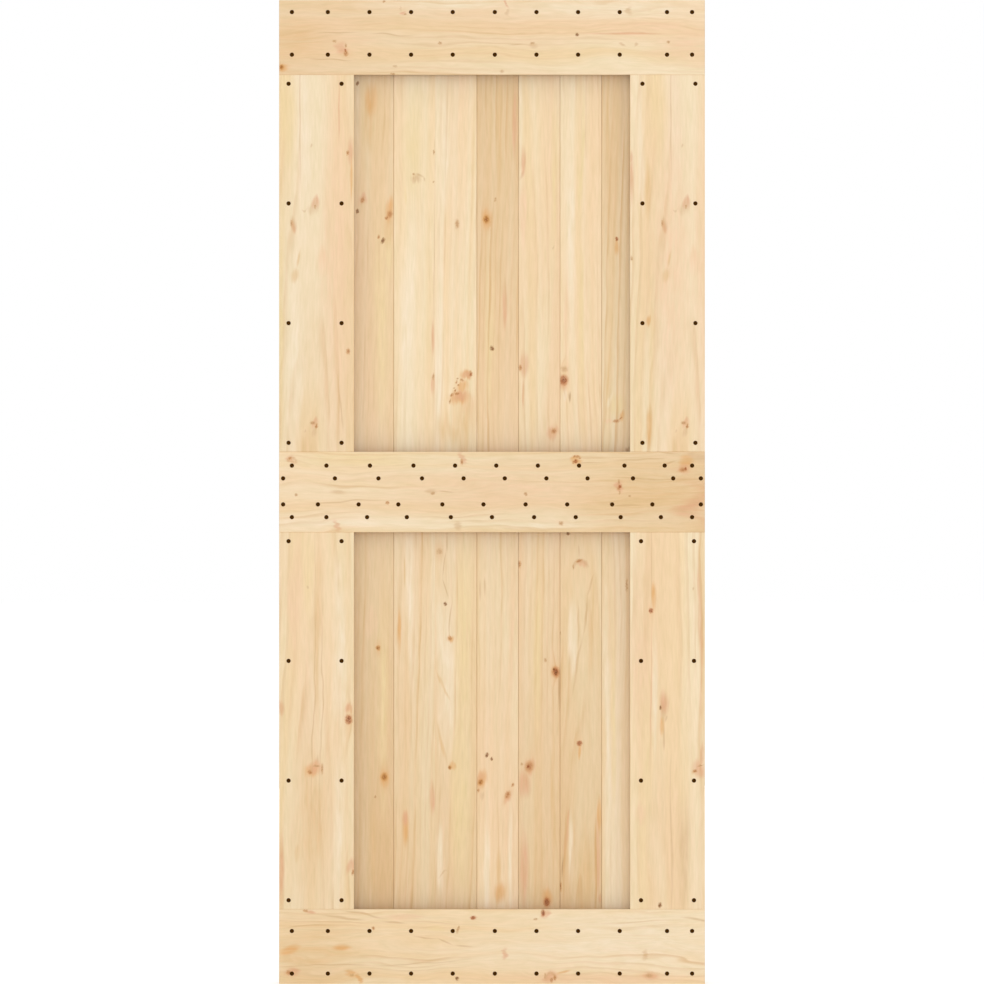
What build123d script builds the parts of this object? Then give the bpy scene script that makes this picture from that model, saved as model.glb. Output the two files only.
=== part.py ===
from build123d import *
import math
import os

# Sliding barn door leaf in planed pine: two fields of tongue-and-groove boards, one above the other,
# clamped between a front frame and a back frame of three rails and four stiles each.
# Millimetres. Seen from the front +X is to the right and +Z is up, and -Y points at the viewer.
# The origin is the middle of the top edge, where the leaf hangs from its rollers.

# Leaf
LEAF_WIDTH = 900.0
LEAF_HEIGHT = 2080.0

# Frame boards, alike on both faces of the leaf
FRAME_THICKNESS = 15.0
STILE_WIDTH = 158.0
TOP_RAIL_HEIGHT = 158.0
MID_RAIL_HEIGHT = 170.0
BOTTOM_RAIL_HEIGHT = 158.0
FRAME_ARRIS = 0.6

# Tongue-and-groove boards. The cover is what one board adds to the width of the field.
BOARD_THICKNESS = 15.0
BOARD_COVER = 88.0
FIRST_BOARD_COVER = 66.0
NARROWEST_RIP = 30.0
WIDE_BOARD = 4  # counted from the left: this board is glued up from two staves
BOARD_ARRIS = 1.0
JOINT_GAP = 0.4
BUTT_GAP = 0.4
TONGUE_LENGTH = 7.0
TONGUE_THICKNESS = 5.0
TONGUE_EASE = 0.8
TONGUE_CLEARANCE = 0.2

# Sunk screw seats in the face of the front frame. A screw ties both frames and one stave.
SEAT_DIAMETER = 9.4
SEAT_DEPTH = 3.5
SEAT_SIDES = 16  # a few flats stand for the round wall of a drilled seat
EDGE_COLUMN = 27.0  # from the side of the leaf to the outermost column of screws
NEAR_COLUMN = 8.5  # the same, in the two middle rows of the mid rail
TOP_ROW_INSET = 25.5  # from the top edge of the leaf to the nearest row
BOTTOM_ROW_INSET = 22.0  # the same from the bottom edge
RAIL_ROW_SPACING = 90.0
MID_ROW_RAISE = 1.3  # the rows of the mid rail are set out from a line this far above its middle
MID_ROW_INNER = 27.5  # from that line to the rows
MID_ROW_OUTER = 54.5
MID_PAIR_STEP = 18.0  # sideways, between the two screws at one end of a stave
STILE_ROWS = 4
STILE_ROW_INSET = 19.0
STILE_OUTER_COLUMN = 20.0
STILE_INNER_COLUMN = 26.0
LOWER_RIGHT_STEP = 3.0  # the columns of the lower right stile stand this much further to the left

# How far each screw stands from the middle of its stave, from the second stave to the last but one.
# The seats were drilled by eye, so they wander.
RAIL_WANDER = [-7.0, -7.0, -7.0, -7.0, -6.0, -6.0, -6.0, -6.0, 6.0]
MID_UPPER_WANDER = [-10.0, -6.0, -2.0, -2.0, -3.0, -3.0, -4.0, 4.0, 1.0]
MID_LOWER_WANDER = [-10.0, -12.0, -16.0, -11.0, -12.0, -11.0, -11.0, -4.0, -7.0]

# Places that follow from the sizes above
LEFT, RIGHT = -LEAF_WIDTH / 2, LEAF_WIDTH / 2
TOP, BOTTOM = 0.0, -LEAF_HEIGHT
MIDDLE = (TOP + BOTTOM) / 2
BOARD_FACE = BOARD_THICKNESS / 2
LEAF_FACE = BOARD_FACE + FRAME_THICKNESS
MID_RAIL_TOP, MID_RAIL_BOTTOM = MIDDLE + MID_RAIL_HEIGHT / 2, MIDDLE - MID_RAIL_HEIGHT / 2
HEAD_RAIL = (TOP - TOP_RAIL_HEIGHT, TOP)
FOOT_RAIL = (BOTTOM, BOTTOM + BOTTOM_RAIL_HEIGHT)
UPPER_STILE = (MID_RAIL_TOP, TOP - TOP_RAIL_HEIGHT)
LOWER_STILE = (BOTTOM + BOTTOM_RAIL_HEIGHT, MID_RAIL_BOTTOM)


def stave_edges():
    """The joints between staves from left to right, with the two sides of the leaf.

    The first stave is ripped to its own cover, and the last takes what is left over.
    """
    whole = math.floor((LEAF_WIDTH - FIRST_BOARD_COVER - NARROWEST_RIP) / BOARD_COVER)
    joints = [LEFT + FIRST_BOARD_COVER + n * BOARD_COVER for n in range(whole + 1)]
    return [LEFT, *joints, RIGHT]


def board_edges(staves):
    """The stave joints without the one that is glued shut inside the wide board."""
    return [x for n, x in enumerate(staves) if n != WIDE_BOARD or n == len(staves) - 1]


def board_profile(left, right):
    """Cross-section of a board: a tongue to the left, a groove to the right, both with eased arrises.

    A side that lies on the side of the leaf is sawn plain.
    """
    face, ease = BOARD_FACE, BOARD_ARRIS
    tongue, tip = TONGUE_THICKNESS / 2, TONGUE_EASE
    groove = tongue + TONGUE_CLEARANCE
    if left == LEFT:
        west = [(left, face), (left, -face)]
    else:
        side = left + JOINT_GAP / 2
        end = side - TONGUE_LENGTH
        upper = [(side + ease, face), (side, face - ease), (side, tongue)]
        upper += [(end + tip, tongue), (end, tongue - tip)]
        west = upper + [(x, -y) for x, y in reversed(upper)]
    if right == RIGHT:
        east = [(right, -face), (right, face)]
    else:
        side = right - JOINT_GAP / 2
        floor = right + JOINT_GAP / 2 - TONGUE_LENGTH - TONGUE_CLEARANCE
        lower = [(side - ease, -face), (side, ease - face), (side, -groove), (floor, -groove)]
        east = lower + [(x, -y) for x, y in reversed(lower)]
    return Polygon(*west, *east, align=None)


def field_boards(bottom, top):
    """One field of boards, from left to right, each as long as the field is high."""
    edges = board_edges(stave_edges())
    return [
        Pos(0, 0, bottom) * extrude(board_profile(left, right), amount=top - bottom)
        for left, right in zip(edges, edges[1:])
    ]


def rail_columns(staves, wander, edge):
    """One screw in every stave: near the sides at a set distance, and elsewhere near the stave's middle."""
    middles = [(a + b) / 2 for a, b in zip(staves[1:], staves[2:-1])]
    inner = [x + wander[n % len(wander)] for n, x in enumerate(middles)]
    return [LEFT + edge, *inner, RIGHT - edge]


def end_rail_seats(edge, inset, inwards):
    """Two straight rows in the top or bottom rail. inwards is -1 from the top edge, 1 from the bottom."""
    columns = rail_columns(stave_edges(), RAIL_WANDER, EDGE_COLUMN)
    rows = [edge + inwards * inset, edge + inwards * (inset + RAIL_ROW_SPACING)]
    return [(x, z) for z in rows for x in columns]


def mid_rail_seats():
    """Four staggered rows: two screws for the foot of each upper stave, two for the head of each lower."""
    staves = stave_edges()
    middle = MIDDLE + MID_ROW_RAISE
    seats = []
    for wander, up in ((MID_UPPER_WANDER, 1), (MID_LOWER_WANDER, -1)):
        outer = rail_columns(staves, wander, EDGE_COLUMN)
        inner = [LEFT + NEAR_COLUMN, *(x + up * MID_PAIR_STEP for x in outer[1:-1]), RIGHT - NEAR_COLUMN]
        seats += [(x, middle + up * MID_ROW_OUTER) for x in outer]
        seats += [(x, middle + up * MID_ROW_INNER) for x in inner]
    return seats


def stile_seats(side, bottom, top, step=0.0):
    """Two columns in a stile. side is -1 on the left and 1 on the right, and step is a shift to the left."""
    columns = [side * (RIGHT - STILE_OUTER_COLUMN), side * (RIGHT - STILE_WIDTH + STILE_INNER_COLUMN)]
    pitch = (top - bottom - 2 * STILE_ROW_INSET) / (STILE_ROWS - 1)
    return [(x - step, bottom + STILE_ROW_INSET + n * pitch) for n in range(STILE_ROWS) for x in columns]


def frame_board(left, right, bottom, top, face, seats=()):
    """A planed board on one face of the leaf, -1 for the front and 1 for the back, with eased arrises."""
    middle = Pos((left + right) / 2, face * (BOARD_FACE + LEAF_FACE) / 2, (bottom + top) / 2)
    board = middle * Box(right - left, FRAME_THICKNESS, top - bottom)
    showing = board.faces().sort_by(Axis.Y)[0 if face < 0 else -1]
    board = chamfer(showing.edges(), FRAME_ARRIS)
    if not seats:
        return board
    surface = Plane(origin=(0, face * LEAF_FACE, 0), x_dir=(1, 0, 0), z_dir=(0, face, 0))
    drilled = Sketch() + [Pos(x, z) * RegularPolygon(SEAT_DIAMETER / 2, SEAT_SIDES) for x, z in seats]
    return board - extrude(surface * drilled, amount=-SEAT_DEPTH)


def frame(face, name, drilled):
    """The seven boards of one frame: rails from side to side, with the stiles cut in between them."""
    inner = RIGHT - STILE_WIDTH
    boards = {
        "top_rail": (LEFT, RIGHT, *HEAD_RAIL, end_rail_seats(TOP, TOP_ROW_INSET, -1)),
        "mid_rail": (LEFT, RIGHT, MID_RAIL_BOTTOM, MID_RAIL_TOP, mid_rail_seats()),
        "bottom_rail": (LEFT, RIGHT, *FOOT_RAIL, end_rail_seats(BOTTOM, BOTTOM_ROW_INSET, 1)),
    }
    for level, span, step in (("upper", UPPER_STILE, 0.0), ("lower", LOWER_STILE, LOWER_RIGHT_STEP)):
        boards[f"{level}_left_stile"] = (LEFT, -inner, *span, stile_seats(-1, *span))
        boards[f"{level}_right_stile"] = (inner, RIGHT, *span, stile_seats(1, *span, step))
    return {
        f"{name}_{board}": frame_board(*box, face, seats if drilled else ())
        for board, (*box, seats) in boards.items()
    }


def leaf():
    """Every piece of the leaf by name."""
    pieces = {**frame(-1, "front", drilled=True), **frame(1, "back", drilled=False)}
    for number, board in enumerate(field_boards(MIDDLE + BUTT_GAP / 2, TOP), 1):
        pieces[f"upper_board_{number:02d}"] = board
    for number, board in enumerate(field_boards(BOTTOM, MIDDLE - BUTT_GAP / 2), 1):
        pieces[f"lower_board_{number:02d}"] = board
    return pieces


os.makedirs("parts", exist_ok=True)
for name, piece in leaf().items():
    export_step(piece, f"parts/{name}.step")
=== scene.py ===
import math

import bpy
import numpy as np
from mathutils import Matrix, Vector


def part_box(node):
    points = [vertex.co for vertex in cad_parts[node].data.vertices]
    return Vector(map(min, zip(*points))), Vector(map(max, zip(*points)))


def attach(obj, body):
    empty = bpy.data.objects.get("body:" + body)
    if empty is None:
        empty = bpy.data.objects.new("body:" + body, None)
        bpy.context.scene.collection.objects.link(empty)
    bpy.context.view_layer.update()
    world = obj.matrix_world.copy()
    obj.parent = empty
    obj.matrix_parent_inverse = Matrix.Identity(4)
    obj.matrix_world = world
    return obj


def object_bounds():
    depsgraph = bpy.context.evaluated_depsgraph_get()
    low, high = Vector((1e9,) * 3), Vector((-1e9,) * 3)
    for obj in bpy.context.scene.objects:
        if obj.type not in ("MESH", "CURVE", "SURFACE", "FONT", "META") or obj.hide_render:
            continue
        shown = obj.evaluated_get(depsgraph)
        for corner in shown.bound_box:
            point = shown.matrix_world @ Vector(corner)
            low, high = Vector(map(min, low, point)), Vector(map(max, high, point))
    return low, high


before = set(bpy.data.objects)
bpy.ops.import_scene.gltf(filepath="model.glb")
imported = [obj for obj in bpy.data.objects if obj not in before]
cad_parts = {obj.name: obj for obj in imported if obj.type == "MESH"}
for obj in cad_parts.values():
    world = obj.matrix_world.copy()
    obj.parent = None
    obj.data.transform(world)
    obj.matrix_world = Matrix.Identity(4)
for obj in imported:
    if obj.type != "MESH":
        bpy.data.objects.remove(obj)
cad_box = [list(map(float, corner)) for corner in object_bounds()]


# The upper field: upright tongue-and-groove boards of planed knotty pine, pushed together and clamped
# between the two frames. Pine is sawn from a round trunk, so each board's figure is worked out as a cut
# through its growth rings, which stand around a heart line and bulge where a branch grew.


class Signal:
    """A shader socket to reckon with: each operator adds one Math node to the tree that the socket is in."""

    def __init__(self, socket):
        self.socket = socket

    def node(self, kind, settings, sockets, output=0):
        """Any other node, from its type, its settings and then its sockets' values or links."""
        tree = self.socket.id_data
        made = tree.nodes.new("ShaderNode" + kind)
        for key, value in settings.items():
            setattr(made, key, value)
        for key, value in sockets.items():
            if isinstance(value, Signal):
                tree.links.new(value.socket, made.inputs[key])
            else:
                made.inputs[key].default_value = value
        return Signal(made.outputs[output])

    def beside(self, output):
        """Another output of the node that this signal comes from."""
        return Signal(self.socket.node.outputs[output])

    def math(self, operation, *values):
        return self.node("Math", {"operation": operation}, dict(enumerate(values)))

    def __add__(self, other):
        return self.math("ADD", self, other)

    def __radd__(self, other):
        return self.math("ADD", other, self)

    def __sub__(self, other):
        return self.math("SUBTRACT", self, other)

    def __rsub__(self, other):
        return self.math("SUBTRACT", other, self)

    def __mul__(self, other):
        return self.math("MULTIPLY", self, other)

    def __rmul__(self, other):
        return self.math("MULTIPLY", other, self)

    def __truediv__(self, other):
        return self.math("DIVIDE", self, other)

    def __pow__(self, other):
        return self.math("POWER", self, other)

    def __rpow__(self, other):
        return self.math("POWER", other, self)

    def __abs__(self):
        return self.math("ABSOLUTE", self)

    def most(self, other):
        return self.math("MAXIMUM", self, other)

    def least(self, other):
        return self.math("MINIMUM", self, other)

    def step(self, start, end):
        """0 before start, 1 after end, and a smooth rise in between."""
        return self.node("MapRange", {"interpolation_type": "SMOOTHSTEP"}, {0: self, 1: start, 2: end})

    def uneven(self, least, gain):
        """A share that is the least where this signal is 0, and more by the gain where it is 1."""
        return least + gain * self

    def vector(self, operation, *values, output=0):
        return self.node("VectorMath", {"operation": operation}, dict(enumerate(values)), output)

    def spread(self, factor, shift):
        """A vector times one vector plus another."""
        return self.vector("MULTIPLY_ADD", self, factor, shift)

    def length(self):
        return self.vector("LENGTH", self, output="Value")

    def mix(self, other, share, blend="MIX"):
        """A colour with a share of another laid over it."""
        settings = {"data_type": "RGBA", "blend_type": blend}
        return self.node("Mix", settings, {0: share, 6: self, 7: other}, output=2)

    def between(self, first, second):
        """A colour that goes from the first to the second as this signal goes from 0 to 1."""
        return self.node("Mix", {"data_type": "RGBA"}, {0: self, 6: first, 7: second}, output=2)


def paint(red, green, blue):
    """A colour as a screen shows it, from 0 to 255, in the linear values that a shader takes, by the usual
    curve of screens: a straight foot and then a power."""
    levels = np.array([red, green, blue]) / 255
    linear = np.where(levels <= 0.04045, levels / 12.92, ((levels + 0.055) / 1.055) ** 2.4)
    return (*map(float, linear), 1.0)


CREAM = paint(251, 231, 195)
STRAW = paint(247, 219, 173)
HONEY = paint(220, 176, 120)
PEACH = paint(247, 211, 171)
TAN = paint(223, 185, 134)
END_GRAIN = paint(206, 164, 112)

# Noises by use: the grains a metre across the board, how far they are drawn out along it, and the detail.
NOISES = {
    "bend": (4.0, 5.0, 1.0),
    "waver": (20.0, 4.5, 2.0),
    "ripple": (60.0, 6.0, 2.0),
    "fade": (12.0, 3.0, 2.0),
    "band": (26.0, 22.0, 3.0),
    "cloud": (12.0, 10.0, 2.0),
    "streak": (240.0, 10.0, 2.0),
    "weave": (130.0, 6.0, 2.0),
    "fibre": (1500.0, 50.0, 1.0),
    "blotch": (420.0, 1.0, 2.0),
    "rough": (300.0, 1.0, 2.0),
    "feathered": (110.0, 8.0, 2.0),
    "drawn": (45.0, 10.0, 2.0),
    "waved": (16.0, 2.0, 2.0),
}
SEED_SHIFT = (3.1, 1.7, 5.3)


def noise(use, source, seed, output=0):
    """Noise for one of the uses above, drawn out along the grain. The seed moves it to another place."""
    scale, stretch, detail = NOISES[use]
    shift = tuple(seed * step for step in SEED_SHIFT)
    at = source.spread((scale, scale, scale / stretch), shift)
    return at.node("TexNoise", {}, {"Vector": at, "Scale": 1.0, "Detail": detail}, output)


# Knots by kind: the colours of body and middle, their strength, and how far they warm the wood around.
KNOTS = {
    "red": (paint(190, 104, 40), paint(132, 56, 4), 0.9, 0.3),
    "amber": (paint(208, 144, 62), paint(154, 88, 16), 0.9, 0.4),
    "rust": (paint(212, 156, 100), paint(180, 114, 56), 0.85, 0.25),
    "dark": (paint(156, 96, 14), paint(106, 54, 0), 0.9, 0.2),
    "faint": (paint(208, 162, 110), paint(184, 130, 78), 0.75, 0.15),
    "pale": (paint(208, 164, 112), paint(190, 142, 92), 0.5, 0.3),
    "arc": (paint(206, 158, 106), paint(198, 144, 90), 0.42, 0.1),
}
KNOT_HALO = paint(230, 174, 118)
# Patches of coloured wood by kind, in the order in which they are laid on: the colour and its strength.
PATCHES = {
    "cream": (paint(250, 231, 199), 0.75),
    "straw": (paint(243, 217, 164), 0.7),
    "peach": (paint(245, 209, 169), 0.75),
    "honey": (paint(230, 190, 134), 0.55),
    "tan": (paint(222, 186, 142), 0.6),
    "orange": (paint(230, 174, 108), 0.7),
    "rose": (paint(228, 172, 132), 0.62),
    "brown": (paint(176, 132, 84), 0.6),
    "line": (paint(206, 164, 112), 0.42),
}
# How far the noises that shake the outlines of marks move them across the grain and along it.
SHAKES = {
    "rough": (0.0055, 0.0055),
    "feathered": (0.006, 0.03),
    "drawn": (0.022, 0.20),
    "waved": (0.026, 0.0),
}
MILLIMETRE = 0.001
# Marks go through a board, so they are this deep.
MARK_DEPTH = 1000.0
# Patches with both half sizes over the first of these, or one over the second, fade out slowly.
WIDE_PATCH = 24.0
LONG_PATCH = 96.0
# Knots under this half size in millimetres leave the rings around them as they are.
SPECK = 5.0
# Where marks start to show and where they show fully, in shares of their half sizes.
WIDE_EDGE = (1.4, 0.0)
PATCH_EDGE = (1.25, 0.3)
KNOT_EDGE = (1.3, 0.45)
KNOT_MIDDLE = (0.95, 0.2)
# An arc is the upper half of a thin ring.
ARC_RADIUS = 0.9
ARC_EDGE = (0.4, 0.05)
ARC_ENDS = (-0.4, 0.4)
# Rings are bent further along the grain than across it, and by a share of the knot's half size.
PULL_ACROSS = 0.75
PULL_ALONG = 0.34
PULL_EDGE = (1.6, 0.0)
PUSH = 0.85


def shaken(way, place, wood, seed, grain):
    """Places on the leaf, moved to and fro by one of the noises for outlines."""
    sideways, lengthways = SHAKES[way]
    reach = (sideways, 0.0, lengthways) if grain == "Z" else (lengthways, 0.0, sideways)
    moved = noise(way, wood, seed, "Color").spread(reach, place)
    return moved.vector("SUBTRACT", moved, tuple(length / 2 for length in reach))


def marked(marks, place, wood, seed, grain):
    """The masks of patches and of knots by kind, the distance from the nearest knot in shares of its size,
    how far knots push the rings out, and how warm the wood around them is. Marks are (x, z, half width,
    half height, kind, turn) in millimetres and degrees."""
    outlines = {way: shaken(way, place, wood, seed, grain) for way in SHAKES}
    patches = {}
    knots = {}
    near = push = halo = None
    for x, z, half_width, half_height, kind, *turn in marks:
        small, large = sorted((half_width, half_height))
        wide = small > WIDE_PATCH or large > LONG_PATCH
        way = "drawn" if wide else "feathered"
        if kind in KNOTS:
            way = "rough"
        if kind == "line":
            way = "waved"
        spot = {
            "Vector": outlines[way],
            "Location": (x * MILLIMETRE, 0.0, z * MILLIMETRE),
            "Rotation": (0.0, math.radians(turn[0]) if turn else 0.0, 0.0),
            "Scale": (half_width * MILLIMETRE, MARK_DEPTH, half_height * MILLIMETRE),
        }
        local = place.node("Mapping", {"vector_type": "TEXTURE"}, spot)
        away = local.length()
        if kind in PATCHES:
            mask = away.step(*WIDE_EDGE) if wide else away.step(*PATCH_EDGE)
            patches[kind] = patches[kind].most(mask) if kind in patches else mask
            continue
        if kind == "arc":
            rise = local.node("SeparateXYZ", {}, {0: local}).beside("Z")
            mask = abs(away - ARC_RADIUS).step(*ARC_EDGE) * rise.step(*ARC_ENDS)
        else:
            mask = away.step(*KNOT_EDGE)
        knots[kind] = knots[kind].most(mask) if kind in knots else mask
        near = near.least(away) if near else away
        if small < SPECK:
            continue
        reach = (PULL_ACROSS, 0.0, PULL_ALONG) if grain == "Z" else (PULL_ALONG, 0.0, PULL_ACROSS)
        pull = local.vector("MULTIPLY", local, reach).length().step(*PULL_EDGE)
        shove = pull * (PUSH * MILLIMETRE * small)
        push = push + shove if push else shove
        warm = pull * KNOTS[kind][3]
        halo = halo.most(warm) if halo else warm
    return patches, knots, near, push, halo


# The heart line leans about this place along the grain, and the bends move the wood about this far sideways.
LEAN_LEVEL = -1.04
BEND_SHIFT = 0.027
# Late wood sets in slowly in a ring and stops short at its end, in shares of the ring.
LATE_RISE = (0.4, 0.84)
LATE_STOP = (1.0, 0.87)
LATE_FADE = (0.38, 0.66)
# The least share of late wood in a ring and along it, and how much chance and noise add.
RING_SHARE = (0.2, 0.8)
FADE_SHARE = (0.1, 1.8)


def ringed(wood, bent, heart, ring, seed, push):
    """The count of rings from a leaning heart line out to the bent place, and the share of late wood in it.
    A ring darkens from early wood to late wood and then stops short, and each ring has its own darkness."""
    across = bent.node("SeparateXYZ", {}, {0: bent})
    level = across.beside("Z") - LEAN_LEVEL
    sideways = across - (heart[0] + BEND_SHIFT) - level * heart[2]
    behind = across.beside("Y") - (heart[1] + BEND_SHIFT) - level * heart[3]
    radius = (sideways * sideways + behind * behind) ** 0.5
    if push:
        radius = radius - push
    count = radius / ring + seed
    number = count.math("FLOOR", count)
    chance = number.node("TexWhiteNoise", {"noise_dimensions": "1D"}, {"W": number}, "Value")
    growth = count.math("FRACT", count)
    late = growth.step(*LATE_RISE) * growth.step(*LATE_STOP) * (chance * chance).uneven(*RING_SHARE)
    return count, late * noise("fade", wood, seed).step(*LATE_FADE).uneven(*FADE_SHARE)


# Painted shade along the edges of an opening and beside the joints of the frame, standing in for the shade
# that falls
# there: the tone, how far the middle of the shade lies outside the edge, and how fast it fades, a metre.
SIDE_SHADE_PAINT = paint(212, 221, 238)
SIDE_FREE = 0.0077
SIDE_FALL = 52.0
SILL_SHADE_PAINT = paint(212, 211, 216)
SILL_FREE = 0.0075
SILL_FALL = 38.0
SEAM_SHADE_PAINT = paint(205, 195, 184)
SEAM_FALL = 550.0


def painted_edge_shade(colour, x, z, field, seams):
    """A colour under painted shade, which lightens by the same share with every step away from the edges of
    the field, given as left, right, bottom and top, and from the levels of the seams."""
    if field:
        left, right, bottom, top = field
        beside = abs((x - left).least(right - x) + SIDE_FREE)
        # Painted shade on the field beside the stiles, where the frame's shade falls.
        colour = colour.mix(SIDE_SHADE_PAINT, math.exp(-SIDE_FALL) ** beside, "MULTIPLY")
        beyond = abs((z - bottom).least(top - z) + SILL_FREE)
        # Painted shade on the field below the rail above it and above the rail below it.
        colour = colour.mix(SILL_SHADE_PAINT, math.exp(-SILL_FALL) ** beyond, "MULTIPLY")
    for seam in seams:
        # Painted shade in the joints where the stiles meet the rails.
        colour = colour.mix(SEAM_SHADE_PAINT, math.exp(-SEAM_FALL) ** abs(z - seam), "MULTIPLY")
    return colour


# The fourth boards are glued up from two staves, and the second comes from elsewhere in the tree.
GLUE_LINE = -0.1205
GLUE_HALF = 0.0003
STAVE_STEP = 0.31
STAVE_SLIP = 2.7
# How far the large bends and the small ripples move the rings.
BEND = 0.045
RIPPLE = 0.005
# How far each noise lightens and darkens the wood.
SHADES = {"streak": 0.17, "weave": 0.05, "fibre": 0.08, "band": 0.13}
# Cream and straw take turns about every second ring.
BROAD_RINGS = 0.45
# Where noises start to show and where they show fully.
PALE_EDGE = (0.36, 0.64)
CLOUD_EDGE = (0.36, 0.7)
BLOTCH_EDGE = (0.36, 0.58)
# End grain starts to show and shows fully where a face is turned this far along the grain.
END_EDGE = (0.45, 0.75)
# The least share of each tone that is laid on unevenly, and how much a noise adds to it.
TAN_SHARE = (0.4, 1.2)
PATCH_SHARE = (0.3, 1.4)
HALO_SHARE = (0.5, 1.0)
MIDDLE_SHARE = (0.5, 0.5)
KNOT_SHARE = (0.7, 0.3)
END_SHARE = (0.55, 0.35)
WOOD_ROUGHNESS = 0.64
LATE_POLISH = 0.12
STREAK_ROUGHNESS = 0.15
WOOD_SHINE = 0.35
WOOD_BUMP = 0.2
WOOD_RELIEF = 0.0004


def pine(
    name, grain, span, heart, ring, seed, tan=(0.0, 0.0), peach=0.3, figure=0.5, wave=0.010,
    marks=(), glue=None, plank=0.0, field=None, seams=(),
):
    """Solid pine, with its grain along the Z or X axis. Rings stand around the heart line, which is given as
    its place across and behind and its lean in both. The share of tan heartwood goes evenly from one end of
    the span to the other. Peach is the share of warm clouds, figure the strength of the late wood, wave the
    waver of the rings, glue the line between two staves, and plank how far the board lies to the right of
    the place that its rings are reckoned from."""
    material = bpy.data.materials.new(name)
    material.use_nodes = True
    tree = material.node_tree
    shader = tree.nodes["Principled BSDF"]
    place = Signal(tree.nodes.new("ShaderNodeTexCoord").outputs["Object"])
    x = place.node("SeparateXYZ", {}, {0: place})
    y = x.beside("Y")
    z = x.beside("Z")
    across, along = (x - plank, z) if grain == "Z" else (z, x)
    drift = along.node("MapRange", {}, {0: along, 1: span[0], 2: span[1], 3: tan[0], 4: tan[1]})
    if glue is not None:
        second = (x - glue).step(-GLUE_HALF, GLUE_HALF)
        across = across + second * STAVE_STEP
        along = along + second * STAVE_SLIP
    wood = place.node("CombineXYZ", {}, {0: across, 1: y, 2: along})
    bent = wood
    for use, reach in (("bend", BEND), ("waver", wave), ("ripple", RIPPLE)):
        bent = noise(use, wood, seed, "Color").spread((reach, reach, 0.0), bent)
    patches, knots, near, push, halo = marked(marks, place, wood, seed, grain)
    count, late = ringed(wood, bent, heart, ring, seed, push)
    rings = {"W": count * BROAD_RINGS, "Scale": 1.0, "Detail": 1.0}
    broad = count.node("TexNoise", {"noise_dimensions": "1D"}, rings)
    grains = {use: noise(use, bent, seed) for use in ("band", "cloud", "streak", "weave")}
    grains["fibre"] = noise("fibre", wood, seed)

    colour = (broad * 0.5 + grains["band"] * 0.5).step(*PALE_EDGE).between(CREAM, STRAW)
    colour = colour.mix(PEACH, grains["cloud"].step(*CLOUD_EDGE) * peach)
    colour = colour.mix(TAN, grains["band"].uneven(*TAN_SHARE) * drift)
    for kind, (tint, strength) in PATCHES.items():
        if kind in patches:
            colour = colour.mix(tint, patches[kind] * grains["weave"].uneven(*PATCH_SHARE) * strength)
    colour = colour.mix(HONEY, late * figure)
    shade = 1.0
    for use, depth in SHADES.items():
        shade = shade + (grains[use] - 0.5) * depth
    grey = place.node("CombineColor", {}, {0: shade, 1: shade, 2: shade * shade})
    colour = colour.mix(grey, 1.0, "MULTIPLY")
    if halo:
        colour = colour.mix(KNOT_HALO, halo * grains["streak"].uneven(*HALO_SHARE))
    if near:
        blotch = noise("blotch", wood, seed).step(*BLOTCH_EDGE)
        middle = near.step(*KNOT_MIDDLE) * blotch.uneven(*MIDDLE_SHARE)
        for kind, mask in knots.items():
            body, core, strength = KNOTS[kind][:3]
            share = mask * blotch.uneven(*KNOT_SHARE) * strength
            colour = colour.mix(middle.between(body, core), share)
    # Painted shade along the edges of the field and at the seams of the frame.
    colour = painted_edge_shade(colour, x, z, field, seams)
    normal = place.beside("Normal")
    facing = normal.node("SeparateXYZ", {}, {0: normal}).beside(grain)
    colour = colour.mix(END_GRAIN, abs(facing).step(*END_EDGE) * late.uneven(*END_SHARE))

    tree.links.new(colour.socket, shader.inputs["Base Color"])
    roughness = WOOD_ROUGHNESS - LATE_POLISH * late + (grains["streak"] - 0.5) * STREAK_ROUGHNESS
    tree.links.new(roughness.socket, shader.inputs["Roughness"])
    shader.inputs["Specular IOR Level"].default_value = WOOD_SHINE
    height = (grains["fibre"] - 0.5) * 0.5 + grains["streak"]
    bump = height.node("Bump", {}, {"Strength": WOOD_BUMP, "Distance": WOOD_RELIEF, "Height": height})
    tree.links.new(bump.socket, shader.inputs["Normal"])
    return material


def dress(node, grain, seams=(), **wood):
    """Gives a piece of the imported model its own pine, from its head to its foot or from left to right."""
    low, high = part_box(node)
    span = (float(high[2]), float(low[2])) if grain == "Z" else (float(low[0]), float(high[0]))
    met = [level for level in seams if low[2] - MILLIMETRE < level < high[2] + MILLIMETRE]
    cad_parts[node].material_slots[0].material = pine(node, grain, span, seams=met, **wood)


def opening(level, sill, lintel):
    """The left, right, bottom and top of the opening that two stiles and two rails leave free."""
    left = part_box(f"front_{level}_left_stile")[1][0]
    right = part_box(f"front_{level}_right_stile")[0][0]
    return tuple(map(float, (left, right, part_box(sill)[1][2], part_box(lintel)[0][2])))


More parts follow.
